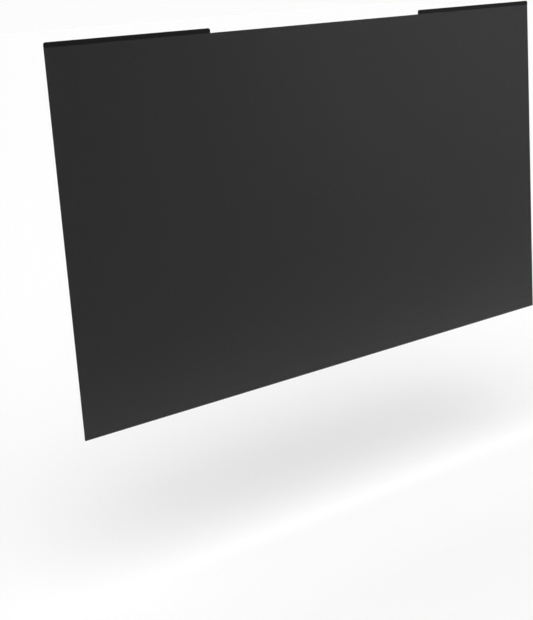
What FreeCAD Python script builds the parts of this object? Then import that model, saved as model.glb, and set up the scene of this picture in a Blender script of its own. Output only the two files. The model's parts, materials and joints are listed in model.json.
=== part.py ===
import FreeCAD, Part
import os

# Monitor privacy filter, in millimetres, upright as it hangs by its magnets.
# X runs along its width, Z is up, and the front faces -Y.
# The origin is midway between the two magnets, on the plane of their rear faces.

# Film sheet below its tabs: 27 inches from corner to corner, with sides as 16 to 9
sheet_width = 597.6
sheet_height = 336.2
sheet_thickness = 0.5

# Tabs that rise from the sheet's top corners, with an open notch between them
tab_length = 168.0
tab_height = 4.2

# Corners of the die-cut sheet: the bottom ones, the tabs' upper ones, and the inner ones of the notch
corner_radius = 0.5
tab_radius = 2.2
notch_radius = 0.4

# Black strip on the front of each tab
face_thickness = 0.2

# Tape and flexible magnet behind each tab, set in from the tab's ends and long edges
tape_thickness = 0.1
magnet_thickness = 1.0
magnet_end_inset = 2.0
magnet_edge_inset = 0.5
magnet_rounding = 0.2

# Planes from the rear to the front
magnet_rear = 0.0
magnet_front = magnet_rear - magnet_thickness
sheet_rear = magnet_front - tape_thickness
sheet_front = sheet_rear - sheet_thickness
face_front = sheet_front - face_thickness

# Levels, and places to the right of the middle
tab_top = tab_height / 2
sheet_top = tab_top - tab_height
sheet_bottom = sheet_top - sheet_height
magnet_top = tab_top - magnet_edge_inset
magnet_bottom = sheet_top + magnet_edge_inset
sheet_side = sheet_width / 2
tab_inner = sheet_side - tab_length
magnet_outer = sheet_side - magnet_end_inset
magnet_inner = tab_inner + magnet_end_inset


def profile(corners):
    """Flat face through corners (x, y, z, radius), with an arc of that radius at each right angle."""
    points = [FreeCAD.Vector(*place) for *place, _ in corners]
    radii = [radius for *_, radius in corners]
    starts = []
    leaves = []
    edges = []
    for i, corner in enumerate(points):
        to_last = (points[i - 1] - corner).normalize() * radii[i]
        to_next = (points[(i + 1) % len(points)] - corner).normalize() * radii[i]
        starts.append(corner + to_last)
        leaves.append(corner + to_next)
        if radii[i] > 0:
            middle = corner + (to_last + to_next) * (1 - 0.5**0.5)
            edges.append(Part.Arc(starts[i], middle, leaves[i]).toShape())
    for leave, start in zip(leaves, starts[1:] + starts[:1]):
        edges.append(Part.makeLine(leave, start))
    return Part.Face(Part.Wire(Part.__sortEdges__(edges)))


def plate(corners, front, rear):
    """Flat plate with the outline of corners (x, z, radius), from the plane y = front to y = rear."""
    face = profile([(x, front, z, radius) for x, z, radius in corners])
    return face.extrude(FreeCAD.Vector(0, rear - front, 0))


def filter_sheet():
    """One die-cut sheet: a rectangle with a tab at each top corner."""
    right_half = [
        (sheet_side, sheet_bottom, corner_radius),
        (sheet_side, tab_top, tab_radius),
        (tab_inner, tab_top, tab_radius),
        (tab_inner, sheet_top, notch_radius),
    ]
    left_half = [(-x, z, radius) for x, z, radius in reversed(right_half)]
    return plate(right_half + left_half, sheet_front, sheet_rear)


def face_strip(side):
    """Strip that covers a tab's front, flush with the tab's top and ends."""
    corners = [
        (side * sheet_side, sheet_top, 0),
        (side * sheet_side, tab_top, tab_radius),
        (side * tab_inner, tab_top, tab_radius),
        (side * tab_inner, sheet_top, 0),
    ]
    return plate(corners, face_front, sheet_front)


def bond_tape(side):
    """Double-sided tape between a tab and its magnet, cut to the magnet's size."""
    corners = [
        (side * magnet_outer, magnet_bottom, 0),
        (side * magnet_outer, magnet_top, 0),
        (side * magnet_inner, magnet_top, 0),
        (side * magnet_inner, magnet_bottom, 0),
    ]
    return plate(corners, sheet_rear, magnet_front)


def magnet(side):
    """Flexible magnet: a section with its rear corners rounded, carried along the tab and cut square."""
    start = side * magnet_inner
    section = [
        (start, magnet_front, magnet_bottom, 0),
        (start, magnet_rear, magnet_bottom, magnet_rounding),
        (start, magnet_rear, magnet_top, magnet_rounding),
        (start, magnet_front, magnet_top, 0),
    ]
    return profile(section).extrude(FreeCAD.Vector(side * magnet_outer - start, 0, 0))


def save(shape, node):
    """Write one piece to the parts folder."""
    shape.exportStep(f"parts/{node}.step")


os.makedirs("parts", exist_ok=True)
save(filter_sheet(), "filter_sheet")
for name, side in (("left", -1), ("right", 1)):
    save(face_strip(side), f"{name}_face_strip")
    save(bond_tape(side), f"{name}_bond_tape")
    save(magnet(side), f"{name}_magnet")
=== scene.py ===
import json
import math

import bpy
import numpy as np
from mathutils import Matrix, Vector


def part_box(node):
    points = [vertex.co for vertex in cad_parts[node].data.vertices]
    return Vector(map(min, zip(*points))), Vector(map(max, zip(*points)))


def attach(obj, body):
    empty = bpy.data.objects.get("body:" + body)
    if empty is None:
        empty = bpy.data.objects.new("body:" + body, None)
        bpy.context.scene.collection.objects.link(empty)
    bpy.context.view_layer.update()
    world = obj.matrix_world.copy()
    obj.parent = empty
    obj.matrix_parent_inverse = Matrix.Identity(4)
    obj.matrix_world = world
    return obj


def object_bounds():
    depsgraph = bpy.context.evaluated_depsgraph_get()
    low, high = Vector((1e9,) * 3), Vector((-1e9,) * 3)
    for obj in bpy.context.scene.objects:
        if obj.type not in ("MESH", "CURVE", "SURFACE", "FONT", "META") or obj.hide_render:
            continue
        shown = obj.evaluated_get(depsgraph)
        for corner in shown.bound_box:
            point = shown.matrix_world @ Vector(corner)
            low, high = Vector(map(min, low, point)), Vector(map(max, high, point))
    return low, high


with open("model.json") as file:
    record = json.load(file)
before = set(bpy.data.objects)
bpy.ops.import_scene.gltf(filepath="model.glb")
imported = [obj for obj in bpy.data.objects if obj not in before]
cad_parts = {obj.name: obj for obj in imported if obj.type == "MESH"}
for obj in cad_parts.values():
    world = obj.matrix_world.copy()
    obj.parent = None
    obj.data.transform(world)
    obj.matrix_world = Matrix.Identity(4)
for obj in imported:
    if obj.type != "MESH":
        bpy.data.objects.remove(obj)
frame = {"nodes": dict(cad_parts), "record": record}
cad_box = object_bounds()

# Metres throughout, in the frame of the solids: X along the width, Z up, the front facing -Y.

# Dark louvres inside the film: upright bars with clear gaps, deep enough to cut the view off at about
# 28 degrees, with a thin cover of clear film around them
LOUVRE_PITCH = 0.00012
LOUVRE_WIDTH = 0.000072
LOUVRE_DEPTH = 0.00009
LOUVRE_COVER = 0.00005

# Finishes of a bar's faces: name, roughness and gloss
LOUVRE_FINISHES = (
    ("louvre_front", 0.36, 0.43),
    ("louvre_rear", 0.14, 0.5),
    ("louvre_side", 0.8, 0.0),
)
FRONT, REAR, SIDE = range(3)

# Haze on the film, as shares of its surface: the same all over, in clouds, and in upright streaks
HAZE_EVEN = 0.02
HAZE_CLOUDS = 0.05
HAZE_STREAKS = 0.03

# Width of the marks in each finish, depth of those in relief, and the scale along a mark that is drawn out
FILM_CLOUD = 0.15
FILM_STREAK = 0.004
STRIP_GRAIN = 0.0006
STRIP_GRAIN_DEPTH = 0.00002
MAGNET_LINE = 0.0004
MAGNET_LINE_DEPTH = 0.00004
MAGNET_SPECK = 0.0005
TAPE_CLOUD = 0.002
DRAWN_OUT = 0.02

# Specks in the magnets: where the noise is over this level, and their share of the colour
SPECK_LEVEL = 0.62
SPECK_SHARE = 0.3

# Colours: plain ones, and the two ends of each blend
FILM_TINT = (0.97, 0.97, 0.97)
HAZE_GREY = (0.05, 0.05, 0.0515)
CUT_EDGE_BLACK = (0.012, 0.012, 0.0125)
LOUVRE_BLACK = (0.004, 0.004, 0.0042)
STRIP_BLACKS = (0.001, 0.001, 0.0011), (0.003, 0.003, 0.0032)
MAGNET_BROWNS = (0.030, 0.024, 0.020), (0.075, 0.062, 0.053)
TAPE_CREAMS = (0.50, 0.48, 0.43), (0.62, 0.60, 0.55)
FLOOR_WHITE = (0.9, 0.9, 0.9)

# Camera, fitted to the film's corners in the photograph
CAMERA_PLACE = Vector((-0.8269, -0.9414, 0.0276))
CAMERA_AIM = Vector((-0.0891, -0.0016, -0.2639))
CAMERA_ROLL = math.radians(-3.96)
CAMERA_LENS_MM = 74.94

# Studio: a floor below the hanging filter, a dome of light, and three lamps
FLOOR_DROP = 0.15
FLOOR_SIZE = 60.0
HORIZON_LIGHT = 0.975
ZENITH_LIGHT = 0.45
KEY_PLACE = Vector((-0.7, -0.6, 1.6))
KEY_AIM = Vector((0, 0, 0))
SOFT_BOX_PLACE = Vector((1.7, -1.6, 0.1))
SOFT_BOX_AIM = Vector((0.1, 0, -0.15))
LOW_PANEL_PLACE = Vector((0, -0.24, -0.47))
LOW_PANEL_AIM = Vector((0, -0.14, 0))
LOW_PANEL_LENGTH = 2.4
LOW_PANEL_WIDTH = 0.1


class Value:
    """A shader socket that takes part in Python sums: each operation adds one Math node."""

    def __init__(self, nodes, socket):
        self.nodes = nodes
        self.socket = socket

    def math(self, operation, *operands):
        """One Math node on the operands."""
        sockets = dict(enumerate(operands))
        return self.nodes.add("ShaderNodeMath", {"operation": operation}, sockets)["Value"]

    def __add__(self, other):
        return self.math("ADD", self, other)

    def __radd__(self, other):
        return self.math("ADD", other, self)

    def __sub__(self, other):
        return self.math("SUBTRACT", self, other)

    def __rsub__(self, other):
        return self.math("SUBTRACT", other, self)

    def __mul__(self, other):
        return self.math("MULTIPLY", self, other)

    def __rmul__(self, other):
        return self.math("MULTIPLY", other, self)

    def over(self, limit):
        """1 where the value is over the limit, and 0 elsewhere."""
        return self.math("GREATER_THAN", self, limit)

    def at_least(self, limit):
        """The value, or the limit where that is more."""
        return self.math("MAXIMUM", self, limit)


class Nodes:
    """The node tree of one finish, or of the studio's light."""

    def __init__(self, tree):
        self.tree = tree
        tree.nodes.clear()

    def add(self, kind, settings=None, sockets=None):
        """Add a node, set its settings, then set or link its sockets; gives its outputs by name."""
        node = self.tree.nodes.new(kind)
        for name, setting in (settings or {}).items():
            setattr(node, name, setting)
        for name, value in (sockets or {}).items():
            if isinstance(value, Value):
                self.tree.links.new(value.socket, node.inputs[name])
            else:
                node.inputs[name].default_value = value
        return {output.name: Value(self, output) for output in node.outputs if output.enabled}

    def noise(self, size, squeeze=(1, 1, 1)):
        """Noise with features about size metres across, on Object coordinates scaled by squeeze."""
        place = self.add("ShaderNodeTexCoord")["Object"]
        place = self.add("ShaderNodeMapping", {}, {"Vector": place, "Scale": squeeze})["Vector"]
        return self.add("ShaderNodeTexNoise", {}, {"Vector": place, "Scale": 1 / size, "Detail": 2})["Fac"]

    def blend(self, share, low, high):
        """Colour from low to high as share goes from 0 to 1."""
        sockets = {0: share, 6: (*low, 1), 7: (*high, 1)}
        return self.add("ShaderNodeMix", {"data_type": "RGBA"}, sockets)["Result"]

    def bump(self, height, depth):
        """Normal of a surface whose height map is depth metres deep."""
        return self.add("ShaderNodeBump", {}, {"Height": height, "Distance": depth})["Normal"]

    def principled(self, sockets):
        """Surface of one Principled node."""
        return self.add("ShaderNodeBsdfPrincipled", {}, sockets)["BSDF"]

    def show(self, surface):
        """Make a surface the one that the finish shows."""
        self.add("ShaderNodeOutputMaterial", {}, {"Surface": surface})


def new_finish(name):
    """A material with an empty node tree, and that tree."""
    material = bpy.data.materials.new(name)
    material.use_nodes = True
    return material, Nodes(material.node_tree)


def film_finish():
    """Clear film with a faint, uneven grey haze; its cut edges are dark, as louvre lies behind louvre."""
    material, nodes = new_finish("louvre_film")
    clouds = nodes.noise(FILM_CLOUD)
    streaks = nodes.noise(FILM_STREAK, squeeze=(1, 1, DRAWN_OUT))
    # Depth goes from -1 on the front face to 1 on the rear face, and the cut edges lie between
    low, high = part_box("filter_sheet")
    place = nodes.add("ShaderNodeTexCoord")["Object"]
    y = nodes.add("ShaderNodeSeparateXYZ", {}, {"Vector": place})["Y"]
    depth = (y - (low[1] + high[1]) / 2) * (2 / (high[1] - low[1]))
    cut_edge = 1 - (depth * depth).over(0.98)
    share = (HAZE_EVEN + HAZE_CLOUDS * clouds + HAZE_STREAKS * streaks).at_least(cut_edge)
    clear = nodes.add("ShaderNodeBsdfTransparent", {}, {"Color": (*FILM_TINT, 1)})["BSDF"]
    sockets = {
        "Base Color": nodes.blend(cut_edge, HAZE_GREY, CUT_EDGE_BLACK),
        "Roughness": 0.6,
        "Specular IOR Level": 0,
    }
    haze = nodes.principled(sockets)
    nodes.show(nodes.add("ShaderNodeMixShader", {}, {0: share, 1: clear, 2: haze})["Shader"])
    return material


def louvre_finishes():
    """Near-black bars: matt gloss in front, clearer gloss behind, and sides that take all light."""
    finishes = []
    for name, roughness, gloss in LOUVRE_FINISHES:
        material, nodes = new_finish(name)
        sockets = {
            "Base Color": (*LOUVRE_BLACK, 1),
            "Roughness": roughness,
            "Specular IOR Level": gloss,
        }
        nodes.show(nodes.principled(sockets))
        finishes.append(material)
    return finishes


def strip_finish():
    """Black satin film with a fine grain."""
    material, nodes = new_finish("black_strip")
    grain = nodes.noise(STRIP_GRAIN)
    sockets = {
        "Base Color": nodes.blend(grain, *STRIP_BLACKS),
        "Roughness": 0.5 + 0.12 * grain,
        "Specular IOR Level": 0.11,
        "Normal": nodes.bump(grain, STRIP_GRAIN_DEPTH),
    }
    nodes.show(nodes.principled(sockets))
    return material


def magnet_finish():
    """Brown-black ferrite rubber with drawn lines along its length, and specks."""
    material, nodes = new_finish("flexible_magnet")
    lines = nodes.noise(MAGNET_LINE, squeeze=(DRAWN_OUT, 1, 1))
    specks = nodes.noise(MAGNET_SPECK).over(SPECK_LEVEL)
    lightness = (1 - SPECK_SHARE) * lines + SPECK_SHARE * specks
    sockets = {
        "Base Color": nodes.blend(lightness, *MAGNET_BROWNS),
        "Roughness": 0.62 + 0.2 * lines,
        "Normal": nodes.bump(lines, MAGNET_LINE_DEPTH),
    }
    nodes.show(nodes.principled(sockets))
    return material


def tape_finish():
    """Milky double-sided tape."""
    material, nodes = new_finish("bond_tape")
    clouds = nodes.noise(TAPE_CLOUD)
    sockets = {
        "Base Color": nodes.blend(clouds, *TAPE_CREAMS),
        "Roughness": 0.45 + 0.15 * clouds,
    }
    nodes.show(nodes.principled(sockets))
    return material


def dress_solids():
    """Give each solid the finish of its slot."""
    finishes = {
        "louvre_film": film_finish(),
        "black_strip": strip_finish(),
        "flexible_magnet": magnet_finish(),
        "bond_tape": tape_finish(),
    }
    for part in frame["record"]["subparts"]:
        solid = frame["nodes"][part["node"]]
        solid.data.materials.clear()
        solid.data.materials.append(finishes[part["material_slot"]])


def new_piece(name, points, faces, materials):
    """A piece at the origin, with its place in its mesh."""
    mesh = bpy.data.meshes.new(name)
    mesh.from_pydata(points, [], faces)
    for material in materials:
        mesh.materials.append(material)
    piece = bpy.data.objects.new(name, mesh)
    bpy.context.scene.collection.objects.link(piece)
    return piece


def film_levels(x):
    """Bottom and top of the film's outline at the places x: straight lines between the outline's own
    points, taken from the right half of the solid, which is the same on both sides."""
    mesh = frame["nodes"]["filter_sheet"].data
    points = np.empty(3 * len(mesh.vertices), np.float32)
    mesh.vertices.foreach_get("co", points)
    points = points.reshape(-1, 3)
    points = points[points[:, 0] > 0]
    points = points[np.lexsort((points[:, 2], points[:, 0]))]
    middle = (points[:, 2].min() + points[:, 2].max()) / 2
    halves = (points[points[:, 2] < middle], points[points[:, 2] > middle])
    return [np.interp(np.abs(x), half[:, 0], half[:, 2]) for half in halves]


def build_louvres():
    """Bars side by side through the film: bar k is the section (width x depth) around
    x = (k - (n - 1) / 2) pitch, carried straight up from the outline's bottom to its top there."""
    low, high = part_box("filter_sheet")
    room = 2 * (high[0] - LOUVRE_COVER) - LOUVRE_WIDTH
    count = int(room / LOUVRE_PITCH) + 1
    x = (np.arange(count) - (count - 1) / 2) * LOUVRE_PITCH
    across = np.array([-0.5, 0.5, 0.5, -0.5]) * LOUVRE_WIDTH
    along = np.array([0, 0, 1, 1]) * LOUVRE_DEPTH + low[1] + LOUVRE_COVER
    bottom, top = film_levels(x[:, None] + across)
    levels = np.stack([bottom.max(1) + LOUVRE_COVER, top.min(1) - LOUVRE_COVER], 1)
    points = np.empty((count, 2, 4, 3))
    points[..., 0] = x[:, None, None] + across
    points[..., 1] = along
    points[..., 2] = levels[:, :, None]
    # A bar has eight points, and its faces are front, right, rear, left, top and bottom
    bar = np.array([(0, 1, 5, 4), (1, 2, 6, 5), (2, 3, 7, 6), (3, 0, 4, 7), (4, 5, 6, 7), (3, 2, 1, 0)])
    bar_finish = [FRONT, SIDE, REAR, SIDE, SIDE, SIDE]
    faces = 8 * np.arange(count)[:, None, None] + bar
    louvres = new_piece("louvres", points.reshape(-1, 3), faces.reshape(-1, 4), louvre_finishes())
    louvres.data.polygons.foreach_set("material_index", np.tile(bar_finish, count))
    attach(louvres, "root")


def build_floor():
    """Pale floor below the hanging filter."""
    half = FLOOR_SIZE / 2
    level = cad_box[0][2] - FLOOR_DROP
    points = [(-half, -half, level), (half, -half, level), (half, half, level), (-half, half, level)]
    material, nodes = new_finish("floor")
    sockets = {"Base Color": (*FLOOR_WHITE, 1), "Roughness": 0.8, "Specular IOR Level": 0.2}
    nodes.show(nodes.principled(sockets))
    new_piece("floor", points, [(0, 1, 2, 3)], [material])


def add_lamp(name, kind, place, aim, settings):
    """A lamp at place, turned to aim."""
    lamp = bpy.data.lights.new(name, kind)
    for key, setting in settings.items():
        setattr(lamp, key, setting)
    stand = bpy.data.objects.new(name, lamp)
    stand.location = place
    stand.rotation_euler = (aim - place).to_track_quat("-Z", "Y").to_euler()
    stand.visible_camera = False
    bpy.context.scene.collection.objects.link(stand)


def light_studio():
    """White dome that dims towards its top, a broad soft key, a soft box that lifts the right side, and a
    long panel that lies low in front, facing up, and gives the film's lower edge a soft sheen."""
    world = bpy.data.worlds.new("studio")
    bpy.context.scene.world = world
    world.use_nodes = True
    nodes = Nodes(world.node_tree)
    direction = nodes.add("ShaderNodeTexCoord")["Generated"]
    climb = nodes.add("ShaderNodeSeparateXYZ", {}, {"Vector": direction})["Z"].at_least(0)
    strength = HORIZON_LIGHT - (HORIZON_LIGHT - ZENITH_LIGHT) * climb
    sockets = {"Color": (1, 1, 1, 1), "Strength": strength}
    glow = nodes.add("ShaderNodeBackground", {}, sockets)["Background"]
    nodes.add("ShaderNodeOutputWorld", {}, {"Surface": glow})
    add_lamp("key", "SUN", KEY_PLACE, KEY_AIM, {"energy": 1.77, "angle": math.radians(60)})
    add_lamp("right_box", "AREA", SOFT_BOX_PLACE, SOFT_BOX_AIM, {"energy": 3.5, "size": 1.0})
    panel = {"energy": 1.7, "shape": "RECTANGLE", "size": LOW_PANEL_LENGTH, "size_y": LOW_PANEL_WIDTH}
    add_lamp("low_panel", "AREA", LOW_PANEL_PLACE, LOW_PANEL_AIM, panel)
    bpy.context.scene.view_settings.view_transform = "Standard"


def place_camera():
    """Camera at the photograph's angle, rolled by the photograph's tilt."""
    lens = bpy.data.cameras.new("camera")
    lens.lens = CAMERA_LENS_MM
    camera = bpy.data.objects.new("camera", lens)
    look = (CAMERA_AIM - CAMERA_PLACE).to_track_quat("-Z", "Y").to_matrix().to_4x4()
    camera.matrix_world = Matrix.Translation(CAMERA_PLACE) @ look @ Matrix.Rotation(CAMERA_ROLL, 4, "Z")
    bpy.context.scene.collection.objects.link(camera)
    bpy.context.scene.camera = camera


dress_solids()
build_louvres()
build_floor()
light_studio()
place_camera()
